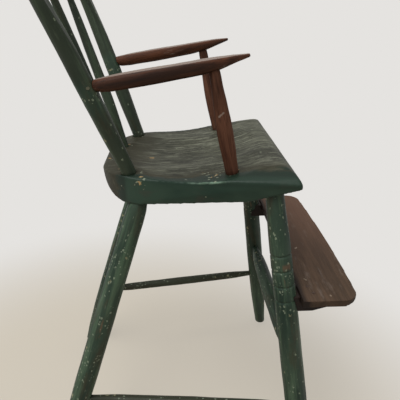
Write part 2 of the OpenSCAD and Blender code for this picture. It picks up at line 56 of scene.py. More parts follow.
# %% Sizes in metres
SEAT_FRONT, SEAT_REAR, SEAT_DEPTH, SEAT_THICK = 0.322, 0.205, 0.284, 0.0435
SEAT_UNDER, SEAT_SLOPE = 0.5315, math.radians(5.5)
SEAT_MIDDLE = -0.013419
BOARD_TOP = SEAT_UNDER - 0.1365
POST_LEAN, POST_SPLAY, ARM_RISE = math.radians(19.4), math.radians(11.2), math.radians(10.8)


def half_width(behind):
    """Half the seat's width at a distance behind its middle."""
    return (SEAT_FRONT + (SEAT_REAR - SEAT_FRONT) * (behind / SEAT_DEPTH + 0.5)) / 2


def underside(behind):
    return SEAT_UNDER - math.tan(SEAT_SLOPE) * behind


def seat_top(behind):
    return underside(behind) + SEAT_THICK / math.cos(SEAT_SLOPE)


def at_height(foot, head, height):
    """The point of a leaning stick at a height above the floor."""
    return foot.lerp(head, (height - foot.z) / (head.z - foot.z))


front_head = Vector((half_width(-0.108) - 0.0235, SEAT_MIDDLE - 0.108, underside(-0.108)))
front_foot = Vector((front_head.x + 0.088, front_head.y - 0.084, 0))
rear_head = Vector((half_width(0.086) - 0.018, SEAT_MIDDLE + 0.086, underside(0.086)))
rear_foot = Vector((rear_head.x + 0.079, rear_head.y + 0.172, 0))
post_foot = Vector((half_width(0.0985) - 0.0195, SEAT_MIDDLE + 0.0985, seat_top(0.0985)))
post_way = Vector((math.tan(POST_SPLAY), math.tan(POST_LEAN), 1))
post_head = post_foot + post_way * (SEAT_UNDER + 0.3525 - post_foot.z)
arm_joint = at_height(post_foot, post_head, SEAT_UNDER + 0.1615)
arm_back = arm_joint - Vector((0, 0.01224, 0))
arm_way = Vector((0, -math.cos(ARM_RISE), math.sin(ARM_RISE)))
arm_down = Vector((0, -math.sin(ARM_RISE), -math.cos(ARM_RISE)))
arm_post_foot = Vector((half_width(-0.0475) - 0.0295, SEAT_MIDDLE - 0.0475, seat_top(-0.0475) - 0.0045))
arm_post_head = arm_back + arm_way * 0.151 + arm_down * 0.0111
print("front leg", front_foot[:], "to", front_head[:])

# %% [markdown]
# ## The camera
#
# The photograph was taken from close by on the sitter's right, a little above the arms. The
# camera stands at that place, turned the same way, with a lens that gives the same field.

# %% Set up the camera
CAMERA_AT = Vector((-0.6507, 0.0163, 0.790))
CAMERA_TURN, CAMERA_DIP, CAMERA_ROLL = -0.0610, 0.4503, 0.0107
CAMERA_LENS = 37.07

look = Vector((math.cos(CAMERA_TURN) * math.cos(CAMERA_DIP), math.sin(CAMERA_TURN) * math.cos(CAMERA_DIP),
               -math.sin(CAMERA_DIP)))
right = look.cross(Vector((0, 0, 1))).normalized()
up = right.cross(look)
rolled_right = right * math.cos(CAMERA_ROLL) + up * math.sin(CAMERA_ROLL)
rolled_up = up * math.cos(CAMERA_ROLL) - right * math.sin(CAMERA_ROLL)
bpy.ops.object.camera_add(location=CAMERA_AT)
camera = bpy.context.object
camera.name = "photograph camera"
camera.rotation_euler = Matrix((rolled_right, rolled_up, -look)).transposed().to_euler()
camera.data.sensor_width = 36
camera.data.lens = CAMERA_LENS
camera.data.clip_start = 0.02
bpy.context.scene.camera = camera

# %% [markdown]
# ## Colours and finishes
#
# A finish is a small tree of nodes. Each piece carries three facts in its mesh for them. "grain"
# gives every point its place along and round the stick or plank it was cut from, so that the
# grain runs true on a leaning leg. The second says how much that spot has been rubbed, and in
# places it also carries painted light: painted shade where it is below 0 on the footrest and its
# brackets, and a painted highlight on the arms' tops. "chips" says how thickly the paint is
# knocked off there.

# %% A bench for wiring finishes
def tint(red, green, blue):
    """A colour chart's 0 to 255, made linear for the shader."""
    def linear(c):
        c /= 255
        return c / 12.92 if c <= 0.04045 else ((c + 0.055) / 1.055) ** 2.4
    return (linear(red), linear(green), linear(blue), 1.0)


class Finish:
    """One material, with the few kinds of node that these finishes need."""

    def __init__(self, name, shine):
        self.material = bpy.data.materials.new(name)
        self.material.use_nodes = True
        self.tree = self.material.node_tree
        self.shader = self.tree.nodes["Principled BSDF"]
        self.shader.inputs["Specular IOR Level"].default_value = shine
        self.grain = self.node("ShaderNodeAttribute", attribute_name="grain").outputs["Vector"]
        self.worn = self.node("ShaderNodeAttribute", attribute_name="worn").outputs["Fac"]
        self.chips = self.node("ShaderNodeAttribute", attribute_name="chips").outputs["Fac"]

    def node(self, kind, inputs=(), **settings):
        made = self.tree.nodes.new(kind)
        for key, value in settings.items():
            setattr(made, key, value)
        for socket, value in dict(inputs).items():
            if isinstance(value, bpy.types.NodeSocket):
                self.tree.links.new(value, made.inputs[socket])
            else:
                made.inputs[socket].default_value = value
        return made

    def cloud(self, stretch, detail=4, roughness=0.6, distortion=0.0):
        """Noise that is stretched along the grain: counts per metre across, across and along."""
        place = self.node("ShaderNodeMapping", {"Vector": self.grain, "Scale": stretch})
        return self.node("ShaderNodeTexNoise", {
            "Vector": place.outputs[0], "Scale": 1.0, "Detail": detail, "Roughness": roughness,
            "Distortion": distortion}).outputs["Fac"]

    def between(self, value, low, high):
        """0 at low and 1 at high, eased. Low may be the larger number of the two."""
        return self.node("ShaderNodeMapRange", {"Value": value, "From Min": low, "From Max": high},
                         interpolation_type="SMOOTHSTEP").outputs["Result"]

    def sum(self, a, b):
        return self.node("ShaderNodeMath", {0: a, 1: b}, operation="ADD").outputs[0]

    def times(self, a, b):
        return self.node("ShaderNodeMath", {0: a, 1: b}, operation="MULTIPLY").outputs[0]

    def blend(self, amount, under, over):
        return self.node("ShaderNodeMix", {0: amount, 6: under, 7: over}, data_type="RGBA").outputs[2]

    def flecks(self, size, share):
        """Chips of about a size in metres. The share of cells with a chip grows with "chips"."""
        across, along = 1 / (2.8 * size), 0.8 / (2.8 * size)
        place = self.node("ShaderNodeMapping", {"Vector": self.grain, "Scale": (across, across, along)})
        cell = self.node("ShaderNodeTexVoronoi", {"Vector": place.outputs[0], "Scale": 1.0})
        luck = self.node("ShaderNodeSeparateColor", {0: cell.outputs["Color"]}).outputs[0]
        group = self.sum(self.times(self.between(self.cloud((24, 24, 14), 2), 0.40, 0.64), 0.85), 0.15)
        odds = self.times(self.times(self.chips, share), group)
        chosen = self.node("ShaderNodeMath", {0: luck, 1: odds}, operation="LESS_THAN").outputs[0]
        ragged = self.cloud((0.9 / size, 0.9 / size, 0.6 / size), 3)
        reach = self.sum(cell.outputs["Distance"], self.sum(ragged, -0.5))
        return self.times(chosen, self.between(reach, 0.33, 0.20))

    def finish(self, colour, roughness, height, depth):
        bump = self.node("ShaderNodeBump", {"Height": height, "Distance": depth, "Strength": 0.9})
        for socket, value in (("Base Color", colour), ("Roughness", roughness), ("Normal", bump.outputs[0])):
            self.tree.links.new(value, self.shader.inputs[socket])
        return self.material


# %% [markdown]
# ### Worn green paint
#
# The dark green has faded in streaks along each stick. It has chipped to pale flecks, mostly in
# loose groups, and is rubbed through to brown wood where hands and feet have passed. Where the
# second fact is below 0, the paint is dulled towards a dark olive brown.

# %% Green paint
def green_paint():
    coat = Finish("worn green paint", 0.24)
    blotch = coat.cloud((17, 17, 7), 4)
    streak = coat.cloud((80, 80, 5), 5, 0.65)
    colour = coat.blend(coat.between(blotch, 0.34, 0.66), tint(21, 39, 29), tint(42, 58, 45))
    colour = coat.blend(coat.times(coat.between(streak, 0.47, 0.66), 0.6), colour, tint(74, 94, 72))
    dirt = coat.cloud((44, 44, 9), 5, 0.7)
    colour = coat.blend(coat.times(coat.between(dirt, 0.52, 0.68), 0.6), colour, tint(50, 45, 29))
    scuff = coat.cloud((210, 210, 60), 5, 0.7)
    colour = coat.blend(coat.times(coat.between(scuff, 0.56, 0.74), 0.35), colour, tint(92, 104, 86))
    rub = coat.sum(coat.cloud((60, 60, 10), 5, 0.7), coat.times(coat.worn, 0.20))
    colour = coat.blend(coat.times(coat.between(rub, 0.68, 0.80), 0.6), colour, tint(92, 66, 48))
    # dulled towards a dark olive brown where the second fact is below 0, most on the side stretchers
    colour = coat.blend(coat.times(coat.between(coat.worn, -0.1, -0.9), 0.8), colour, tint(42, 40, 26))
    small, large = coat.flecks(0.0018, 1.2), coat.flecks(0.0032, 0.30)
    colour = coat.blend(coat.times(small, 0.52), colour, tint(136, 146, 124))
    colour = coat.blend(coat.times(large, 0.55), colour, tint(146, 142, 110))
    rough = coat.sum(coat.times(coat.between(coat.cloud((90, 90, 20), 4), 0.3, 0.7), 0.18), 0.46)
    height = coat.sum(coat.times(coat.sum(small, large), -0.6), coat.times(streak, 0.5))
    return coat.finish(colour, rough, height, 0.0005)


# %% [markdown]
# ### The seat's two colours
#
# The sides keep their green. The top has been sat on until it went a dull olive grey, with fine
# lines that run from front to back. It is browner round the posts at the rear, and dirty where
# it comes near the paint that is left. The second fact is 1 where the top is rubbed and 0 on the
# paint, and the edge between the two is broken up by noise. Where it is below 0, the arris itself
# has gone pale. The green is painted darker where it faces up near the rim and along the upper
# part of the sides: painted shade, with some dirt on the band of paint on the top.

# %% Seat paint
def seat_paint():
    coat = Finish("worn seat paint", 0.22)
    blotch = coat.cloud((16, 16, 9), 3)
    stain = coat.cloud((38, 38, 22), 4, 0.6)
    green = coat.blend(coat.between(blotch, 0.34, 0.66), tint(24, 45, 35), tint(39, 58, 46))
    green = coat.blend(coat.times(coat.between(stain, 0.54, 0.74), 0.45), green, tint(56, 46, 40))
    patch = coat.cloud((26, 12, 13), 4, 0.6)
    line = coat.cloud((300, 60, 28), 5, 0.78)
    pale = coat.cloud((190, 40, 22), 5, 0.78)
    pit = coat.cloud((280, 60, 95), 4, 0.7)
    grey = coat.blend(coat.between(patch, 0.36, 0.64), tint(50, 51, 40), tint(79, 80, 66))
    grey = coat.blend(coat.times(coat.between(line, 0.48, 0.55), 0.88), grey, tint(30, 31, 22))
    grey = coat.blend(coat.times(coat.between(pale, 0.52, 0.60), 0.80), grey, tint(110, 111, 96))
    grey = coat.blend(coat.times(coat.between(pit, 0.54, 0.64), 0.6), grey, tint(32, 32, 23))
    height_along = coat.node("ShaderNodeSeparateXYZ", {0: coat.grain}).outputs
    rear = coat.sum(height_along[2], coat.times(coat.sum(coat.cloud((34, 34, 22), 4), -0.5), 0.10))
    grimy = coat.sum(coat.between(rear, 0.035, 0.085), coat.between(coat.chips, 0.12, 0.6))
    grimy = coat.sum(grimy, coat.between(coat.worn, 1.0, 0.45))
    grimy = coat.node("ShaderNodeClamp", {0: grimy}).outputs[0]
    grey = coat.blend(coat.times(grimy, 0.78), grey, tint(43, 41, 27))
    # painted shade: the band of green on the top near the rim, which faces the lamp, is darkened, partly as
    # dirt
    green = coat.blend(coat.times(coat.between(coat.worn, 0.01, 0.12), 0.75), green, tint(17, 29, 20))
    # painted shade: the upper part of the sides, which turns up towards the lamp, is darkened
    green = coat.blend(coat.times(coat.between(height_along[1], 0.026, 0.036), 0.5), green, tint(13, 29, 20))
    ragged = coat.sum(coat.worn, coat.times(coat.sum(coat.cloud((64, 64, 30), 5, 0.75), -0.5), 1.1))
    bare = coat.between(ragged, 0.22, 0.48)
    colour = coat.blend(bare, green, grey)
    broken = coat.between(coat.cloud((90, 90, 40), 4), 0.36, 0.60)
    arris = coat.times(coat.between(coat.worn, -0.15, -0.8), broken)
    colour = coat.blend(coat.times(arris, 0.6), colour, tint(116, 142, 120))
    small, large = coat.flecks(0.0020, 0.9), coat.flecks(0.0038, 0.35)
    colour = coat.blend(coat.times(small, 0.6), colour, tint(138, 144, 122))
    colour = coat.blend(coat.times(large, 0.75), colour, tint(166, 136, 92))
    rough = coat.sum(coat.times(bare, 0.14), 0.48)
    height = coat.sum(coat.times(coat.sum(small, large), -0.6), coat.times(line, 0.35))
    return coat.finish(colour, rough, height, 0.0004)


# %% [markdown]
# ### Brown wood
#
# The arms and their posts lost most of their paint to hands, and show a dark red-brown, faintly
# polished on the arms, redder and duller on the posts. The footrest board is a duller brown,
# and lighter and redder towards one end. Where the second fact is below 0 the wood is painted
# darker, towards black: painted shade on the board's sawn edges, on its rear strip under the
# seat and on the brackets, and a darker tone towards the top of each arm post. Where it is high
# the wood is painted pale: a scratch on one arm post, and on the arms' tops rubbed wood with a
# painted highlight.

# %% Brown woods
def brown_wood(name, dark, light, polish, pores=0.5, far_end=None, rub_and_highlight=0.4, shine=0.15):
    """far_end is a colour that the wood fades to as "grain" runs from 3.45 to 3.75 along it."""
    wood = Finish(name, shine)
    figure = wood.cloud((55, 55, 6), 4, 0.65, 0.6)
    pore = wood.cloud((420, 420, 22), 4, 0.7)
    colour = wood.blend(wood.between(figure, 0.32, 0.68), dark, light)
    colour = wood.blend(wood.times(wood.between(pore, 0.48, 0.66), pores), colour, tint(26, 17, 13))
    if far_end:
        along = wood.node("ShaderNodeSeparateXYZ", {0: wood.grain}).outputs[2]
        colour = wood.blend(wood.times(wood.between(along, 3.45, 3.75), 0.6), colour, far_end)
    # painted darker towards black where the second fact is below 0: painted shade on the board and brackets
    colour = wood.blend(wood.times(wood.between(wood.worn, -0.1, -0.9), 0.92), colour, tint(22, 16, 13))
    # pale rubbed wood; on the arms' upward faces it is also a painted highlight
    bare = wood.between(wood.sum(wood.cloud((50, 50, 12), 5, 0.7), wood.times(wood.worn, 0.22)), 0.60, 0.76)
    colour = wood.blend(wood.times(bare, rub_and_highlight), colour, tint(128, 114, 104))
    nick = wood.flecks(0.0032, 0.3)
    colour = wood.blend(wood.times(nick, 0.6), colour, tint(160, 144, 124))
    rough = wood.sum(wood.times(figure, 0.25), polish)
    return wood.finish(colour, rough, wood.sum(pore, wood.times(nick, -0.5)), 0.0004)


FINISHES = {
    "green_paint": green_paint(),
    "seat_paint": seat_paint(),
    "brown_wood": brown_wood("dark red-brown wood", tint(38, 21, 13), tint(84, 50, 33), 0.40,
                             rub_and_highlight=0.8),
    "post_wood": brown_wood("red arm post wood", tint(62, 38, 28), tint(98, 66, 51), 0.52,
                            rub_and_highlight=0.7, shine=0.06),
    "board_wood": brown_wood("dull brown board", tint(62, 48, 36), tint(86, 67, 52), 0.50, pores=0.3,
                             far_end=tint(112, 82, 66)),
}
print("finishes:", sorted(FINISHES))

# %% [markdown]
# ## Working by hand
#
# These helpers do what a maker does over and over: clear the bench, turn a stick, rub an edge
# soft, mark the grain, and put the piece in the chair.

# %% Bench helpers
def soft_step(value, low, high):
    t = min(max((value - low) / (high - low), 0.0), 1.0)
    return t * t * (3 - 2 * t)


def bump(value, middle, reach):
    """1 at the middle, fading to 0 at the reach on both sides."""
    return 1 - soft_step(abs(value - middle), 0.0, reach)


def clear_bench():
    """Object mode, with nothing selected."""
    if bpy.context.object and bpy.context.object.mode != "OBJECT":
        bpy.ops.object.mode_set(mode="OBJECT")
    bpy.ops.object.select_all(action="DESELECT")


def pick(piece):
    clear_bench()
    piece.select_set(True)
    bpy.context.view_layer.objects.active = piece


def apply_modifier(piece, kind, **settings):
    """Adds one modifier, sets it and makes it permanent."""
    pick(piece)
    modifier = piece.modifiers.new(kind.title(), kind)
    for key, value in settings.items():
        setattr(modifier, key, value)
    bpy.ops.object.modifier_apply(modifier=modifier.name)


def uneven(piece, size, depth):
    """Pushes the surface in and out a little, in soft patches of a size, as hand work leaves it."""
    texture = bpy.data.textures.new("hand work", "CLOUDS")
    texture.noise_scale, texture.noise_depth = size, 2
    apply_modifier(piece, "DISPLACE", texture=texture, texture_coords="LOCAL", strength=depth, mid_level=0.5)


def mark(piece, foot, head, number, worn=0.1, chips=0.1):
    """Writes the three facts. "grain" runs from foot to head along z, and number shifts the pattern."""
    turn_back = (head - foot).to_track_quat("Z", "Y").to_matrix().transposed()
    for name, kind in (("grain", "FLOAT_VECTOR"), ("worn", "FLOAT"), ("chips", "FLOAT")):
        piece.data.attributes.new(name, kind, "POINT")
    grain, rubbed, knocked = (piece.data.attributes[name].data for name in ("grain", "worn", "chips"))
    shift = Vector((0.37 * number, 0.21 * number, 1.3 * number))
    for vertex in piece.data.vertices:
        place = turn_back @ (vertex.co - foot)
        grain[vertex.index].vector = place + shift
        rubbed[vertex.index].value = worn(vertex, place) if callable(worn) else worn
        knocked[vertex.index].value = chips(vertex, place) if callable(chips) else chips


def place_in_chair(piece, finish, *nodes):
    """Gives the piece its finish and its body, and lets it stand for its exact solids."""
    pick(piece)
    bpy.ops.object.shade_smooth_by_angle(angle=math.radians(40))
    piece.data.materials.clear()
    piece.data.materials.append(FINISHES[finish])
    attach(piece, "root")
    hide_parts(*nodes)
    low, high = ([f(v.co[i] for v in piece.data.vertices) for i in range(3)] for f in (min, max))
    print(piece.name, len(piece.data.polygons), "faces, mm", [round(c * 1000) for c in low + high])


# %% [markdown]
# ### Turning a stick
#
# On the lathe a stick's outline is cut first and everything else follows from it. Here a disc is
# extruded ring by ring, each ring resized to the outline's radius, then smoothed with one level of
# subdivision. The outline's main points are shares of the stick's length and radius.

# %% The lathe
def outline(points, step):
    """Rings along a smooth curve through the points, each a place and a radius."""
    rings = []
    for i in range(len(points) - 1):
        before, here = points[max(i - 1, 0)], points[i]
        there, after = points[i + 1], points[min(i + 2, len(points) - 1)]
        count = max(1, round((there[0] - here[0]) / step))
        for k in range(count):
            t = k / count
            radius = 0.5 * (2 * here[1] + (there[1] - before[1]) * t
                            + (2 * before[1] - 5 * here[1] + 4 * there[1] - after[1]) * t * t
                            + (3 * here[1] - before[1] - 3 * there[1] + after[1]) * t ** 3)
            rings.append((here[0] + (there[0] - here[0]) * t, radius))
    return rings + [points[-1]]


def groove(rings, place, width=0.0020, depth=0.0021):
    """Cuts a ring with the corner of a chisel."""
    near = min(rings, key=lambda ring: abs(ring[0] - place))[1]
    kept = [ring for ring in rings if abs(ring[0] - place) > 2 * width]
    cut = [(place - 1.6 * width, near), (place - width, near), (place, near - depth),
           (place + width, near), (place + 1.6 * width, near)]
    return sorted(kept + cut)


def turn(name, foot, head, rings, facets=40):
    clear_bench()
    bpy.ops.mesh.primitive_circle_add(vertices=facets, radius=rings[0][1], fill_type="NGON",
                                      location=(0, 0, rings[0][0]))
    piece = bpy.context.object
    piece.name = name
    bpy.ops.object.transform_apply(location=True, rotation=True, scale=True)
    bpy.ops.object.mode_set(mode="EDIT")
    bpy.ops.mesh.select_all(action="SELECT")
    for (low, thin), (high, thick) in zip(rings, rings[1:]):
        bpy.ops.mesh.extrude_region_move(TRANSFORM_OT_translate={"value": (0, 0, high - low)})
        bpy.ops.transform.resize(value=(thick / thin, thick / thin, 1), center_override=(0, 0, high))
    bpy.ops.mesh.select_all(action="SELECT")
    bpy.ops.mesh.normals_make_consistent(inside=False)
    bpy.ops.object.mode_set(mode="OBJECT")
    apply_modifier(piece, "SUBSURF", levels=1, render_levels=1)
    piece.matrix_world = Matrix.Translation(foot) @ (head - foot).to_track_quat("Z", "Y").to_matrix().to_4x4()
    bpy.ops.object.transform_apply(location=True, rotation=True, scale=True)
    return piece


def cut_at_floor(piece):
    """Saws the foot level 1.4 mm above the floor, then steps it in and down to the floor."""
    foot_points = [v.co.copy() for v in piece.data.vertices if v.co.z < 0.004]
    middle = sum(foot_points, Vector()) / len(foot_points)
    pick(piece)
    bpy.ops.object.mode_set(mode="EDIT")
    bpy.ops.mesh.select_all(action="SELECT")
    bpy.ops.mesh.bisect(plane_co=(0, 0, 0.0014), plane_no=(0, 0, 1), use_fill=True, clear_inner=True)
    for down, share in ((0.0009, 0.975), (0.0005, 0.93)):
        bpy.ops.mesh.extrude_region_move(TRANSFORM_OT_translate={"value": (0, 0, -down)})
        bpy.ops.transform.resize(value=(share, share, 1), center_override=(middle.x, middle.y, 0))
    bpy.ops.object.mode_set(mode="OBJECT")


def mirrored(point):
    return Vector((-point.x, point.y, point.z))


SIDES = (("left", lambda p: p), ("right", mirrored))
print("lathe ready")

# %% [markdown]
# ## The legs
#
# Each leg swells to its thickest below the middle, tapers to a small foot, and is turned down at
# the top to fit its socket under the seat. The front legs carry four cut rings near the top. The
# rear legs lean too far for that, so their heads are scribed flat to the seat's underside.

# %% Turn the four legs
FRONT_R, REAR_R = 0.018, 0.017
count = 0
for side, place in SIDES:
    foot, head = place(front_foot), place(front_head)
    n = (head - foot).length
    rings = outline([(-0.024, 0.62 * FRONT_R), (0.075 * n, 0.79 * FRONT_R), (0.2 * n, 0.95 * FRONT_R),
                     (0.4 * n, FRONT_R), (0.58 * n, 0.97 * FRONT_R), (0.7 * n, 0.93 * FRONT_R),
                     (0.88 * n, 0.87 * FRONT_R), (0.975 * n, 0.75 * FRONT_R)], 0.018)
    for k in range(4):
        rings = groove(rings, (0.705 + 0.045 * k) * n)
    rings += [(n + 0.012, 0.75 * FRONT_R), (n + 0.0135, 0.54 * FRONT_R), (n + 0.0245, 0.54 * FRONT_R)]
    leg = turn(f"front_leg_{side}_turned", foot, head, rings)
    uneven(leg, 0.05, 0.0012)
    cut_at_floor(leg)
    count += 1
    near = 1 if side == "right" else 0.5
    heel_rub = place(Vector((0.163, -0.1425, 0.4434)))
    mark(leg, foot, head, count,
         lambda v, p: (0.2 + 0.5 * bump(p.z / n, 0.74, 0.07)
                       + 1.6 * near * bump((v.co - heel_rub).length, 0, 0.014)),
         lambda v, p: 0.5 * near + 1.4 * near * bump(p.z / n, 0.76, 0.05))
    place_in_chair(leg, "green_paint", f"front_leg_{side}")

    foot, head = place(rear_foot), place(rear_head)
    n = (head - foot).length
    rings = outline([(-0.024, 0.61 * REAR_R), (0.09 * n, 0.84 * REAR_R), (0.26 * n, 0.98 * REAR_R),
                     (0.45 * n, REAR_R), (0.72 * n, 0.96 * REAR_R), (0.93 * n, 0.9 * REAR_R)], 0.018)
    rings += [(n + 0.012, 0.9 * REAR_R)]
    leg = turn(f"rear_leg_{side}_turned", foot, head, rings)
    bpy.ops.object.mode_set(mode="EDIT")
    bpy.ops.mesh.select_all(action="SELECT")
    bpy.ops.mesh.bisect(plane_co=(0, SEAT_MIDDLE, SEAT_UNDER + 0.0004), use_fill=True, clear_outer=True,
                        plane_no=(0, math.sin(SEAT_SLOPE), math.cos(SEAT_SLOPE)))
    bpy.ops.object.mode_set(mode="OBJECT")
    uneven(leg, 0.05, 0.0012)
    cut_at_floor(leg)
    count += 1
    mark(leg, foot, head, count,
         lambda v, p: 0.45 * bump(p.z / n, 0.6, 0.3) + 0.6 * bump(p.z / n, 1.0, 0.06), 0.55)
    place_in_chair(leg, "green_paint", f"rear_leg_{side}")

# %% [markdown]
# ## The stretchers
#
# Four rods tie the legs together. They are thickest in the middle, and their ends are sized to
# the holes in the legs. The front one is stout, because small feet stand on it while climbing.
# The side ones, near the floor, are painted darker and more olive all over.

# %% Turn the stretchers
def stretcher(name, start, end, thick, lead, number, node, dulled_darker=False):
    n, r, tip = (end - start).length, thick / 2, 0.006
    rings = [(0.001, tip)] + outline([
        (lead, tip), (lead + 0.1 * n, 0.3 * tip + 0.7 * r), (0.36 * n, 0.95 * r), (0.5 * n, r),
        (0.64 * n, 0.95 * r), (n - lead - 0.1 * n, 0.3 * tip + 0.7 * r), (n - lead, tip)], 0.014)
    rings += [(n - 0.001, tip)]
    rod = turn(name, start, end, rings, 32)
    uneven(rod, 0.035, 0.0010)
    # the side stretchers are dulled darker and more olive all along
    mark(rod, start, end, number,
         lambda v, p: -0.85 if dulled_darker else 0.2 + 0.5 * bump(p.z / n, 0.5, 0.4),
         lambda v, p: 0.25 + 0.5 * (1 - bump(p.z / n, 0.5, 0.46)))
    place_in_chair(rod, "green_paint", node)


front_hole = at_height(front_foot, front_head, 0.271)
side_front_hole = at_height(front_foot, front_head, 0.180)
side_rear_hole = at_height(rear_foot, rear_head, 0.171)
rear_hole = at_height(rear_foot, rear_head, 0.226)
stretcher("front_stretcher_turned", front_hole, mirrored(front_hole), 0.029, 0.021, 5, "front_stretcher")
stretcher("rear_stretcher_turned", rear_hole, mirrored(rear_hole), 0.0185, 0.020, 6, "rear_stretcher")
for number, (side, place) in enumerate(SIDES):
    stretcher(f"side_stretcher_{side}_turned", place(side_front_hole), place(side_rear_hole),
              0.0185, 0.021, 7 + number, f"side_stretcher_{side}", dulled_darker=True)

# %% [markdown]
# ## The back
#
# The two outer posts lean back and outwards. Above the arms their front is shaved flat with a
# drawknife, to be kinder to a small back. The two spindles between them are thinner.

# %% Turn the posts and shave them
POST_R = 0.012
for number, (side, place) in enumerate(SIDES):
    foot, head = place(post_foot), place(post_head)
    n = (head - foot).length
    rings = [(-0.0174, 0.6 * POST_R), (-0.0043, 0.6 * POST_R), (-0.0042, 0.87 * POST_R)]
    rings += outline([(0.008, 0.87 * POST_R), (0.2 * n, 0.98 * POST_R), (0.38 * n, POST_R),
                      (0.6 * n, 0.93 * POST_R), (0.85 * n, 0.96 * POST_R), (0.95 * n, 0.86 * POST_R),
                      (0.985 * n, 0.6 * POST_R), (n, 0.12 * POST_R)], 0.012)
    post = turn(f"back_post_{side}_turned", foot, head, rings)
    shave_at = foot + (head - foot) * 0.5 - Vector((0, 1.04 * POST_R, 0))
    lean = POST_LEAN + math.radians(4.5)
    bpy.ops.object.mode_set(mode="EDIT")
    bpy.ops.mesh.select_all(action="SELECT")
    bpy.ops.mesh.bisect(plane_co=shave_at, plane_no=(0, math.cos(lean), -math.sin(lean)),
                        use_fill=True, clear_inner=True)
    bpy.ops.object.mode_set(mode="OBJECT")
    apply_modifier(post, "REMESH", mode="VOXEL", voxel_size=0.0010)
    apply_modifier(post, "SMOOTH", factor=0.5, iterations=4)
    uneven(post, 0.045, 0.0010)
    mark(post, foot, head, 11 + number, lambda v, p: 0.6 * bump(p.z / n, 0.36, 0.1) - 0.5,
         lambda v, p: 0.06 + 0.5 * bump(p.z, 0.0, 0.03) + 2.5 * bump(p.z / n, 0.355, 0.02))
    place_in_chair(post, "green_paint", f"back_post_{side}")

# %% Turn the spindles
SPINDLE_R, SPINDLE_END = 0.00825, 0.00495
CREST_MIDDLE_Z = SEAT_UNDER + 0.3525 - 0.052
crest_end = at_height(post_foot, post_head, CREST_MIDDLE_Z)
crest_radius = (crest_end.x ** 2 + 0.008 ** 2) / (2 * 0.008)
spindle_foot = Vector((0.033, SEAT_MIDDLE + 0.1165, seat_top(0.1165)))
spindle_head_x = 1.45 * 0.033
spindle_bow = crest_radius - math.sqrt(crest_radius ** 2 - spindle_head_x ** 2)
spindle_head = Vector((spindle_head_x, crest_end.y + 0.008 - spindle_bow - 0.030 * math.sin(POST_LEAN),
                       CREST_MIDDLE_Z - 0.030 * math.cos(POST_LEAN)))
for number, (side, place) in enumerate(SIDES):
    foot, head = place(spindle_foot), place(spindle_head)
    n = (head - foot).length
    rings = [(-0.016, SPINDLE_END)] + outline([
        (0.009, SPINDLE_END), (0.16 * n, 0.82 * SPINDLE_R), (0.32 * n, SPINDLE_R),
        (0.48 * n, 0.95 * SPINDLE_R), (0.75 * n, 0.5 * (SPINDLE_R + SPINDLE_END)),
        (n - 0.007, SPINDLE_END)], 0.012)
    rings += [(n + 0.012, SPINDLE_END)]
    spindle = turn(f"spindle_{side}_turned", foot, head, rings, 28)
    uneven(spindle, 0.035, 0.0008)
    mark(spindle, foot, head, 13 + number, -0.45, lambda v, p: 0.1 + 0.3 * bump(p.z, 0.0, 0.03))
    place_in_chair(spindle, "green_paint", f"spindle_{side}")

# %% [markdown]
# ## Carved pieces
#
# The seat, the crest rail, the arms, the board and its brackets were sawn and carved, so they
# have flats, hollows and sockets. Their shape is already exact in the CAD model. A copy of
# each is merged into one skin, rebuilt in small even quads, and smoothed, which rubs every edge
# soft in the way that hands do, and then made slightly uneven.

# %% Rub a copy of an exact solid soft
def rubbed_copy(name, node, quad, passes, patch, depth):
    clear_bench()
    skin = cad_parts[node].data.copy()
    skin.materials.clear()
    piece = bpy.data.objects.new(name, skin)
    bpy.context.scene.collection.objects.link(piece)
    pick(piece)
    bpy.ops.object.mode_set(mode="EDIT")
    bpy.ops.mesh.select_all(action="SELECT")
    bpy.ops.mesh.remove_doubles(threshold=0.00001)
    bpy.ops.object.mode_set(mode="OBJECT")
    apply_modifier(piece, "REMESH", mode="VOXEL", voxel_size=quad)
    apply_modifier(piece, "SMOOTH", factor=0.5, iterations=passes)
    uneven(piece, patch, depth)
    return piece


# %% The seat
SCOOP_HALF, SCOOP_DEPTH, SCOOP_AHEAD = 0.088, 0.010, 0.007


def arris_height(behind):
    """How far below the plank's flat top the scooped side edge lies."""
    radius = (SCOOP_HALF ** 2 + SCOOP_DEPTH ** 2) / (2 * SCOOP_DEPTH)
    return min(0.0, -math.sqrt(radius ** 2 - (behind + SCOOP_AHEAD) ** 2) + radius - SCOOP_DEPTH)


def sat_on(vertex, place):
    """1 on the top where it is rubbed grey, fading to the green of the rim and the sides.

    The sitter's left side is bare almost to its edge. The right side kept a band of paint, which
    is wider from the arm post forward, and its arris has gone pale.
    """
    behind = vertex.co.y - SEAT_MIDDLE
    rim = half_width(behind) - abs(vertex.co.x)
    fading = 0.017 if vertex.co.x > 0 else 0.030 + 0.033 * soft_step(-behind, -0.035, 0.020)
    facing_up = soft_step(vertex.normal.z, 0.45, 0.85)
    rubbed = max(facing_up * soft_step(rim, 0.0, fading), 0.9 * soft_step(behind, 0.096, 0.143))
    below_top = vertex.co.z - seat_top(behind) - arris_height(behind)
    arris = bump(rim, 0.0, 0.0030) * bump(below_top, -0.001, 0.0032) * bump(behind, -0.012, 0.062)
    return -arris if vertex.co.x < 0 and arris > 0.15 else rubbed


SOCKETS = [place(foot) for _, place in SIDES for foot in (post_foot, arm_post_foot, spindle_foot)]
KNOCKS = [Vector((across, SEAT_MIDDLE + behind, underside(behind) + rise))
          for across, behind, rise in (
              (-0.104, -0.014, 0.036), (-0.116, -0.027, 0.036), (-0.015, 0.131, 0.043),
              (-0.099, 0.083, 0.041), (-0.115, 0.081, 0.038), (-0.115, 0.081, 0.031),
              (-0.108, 0.114, 0.031))]


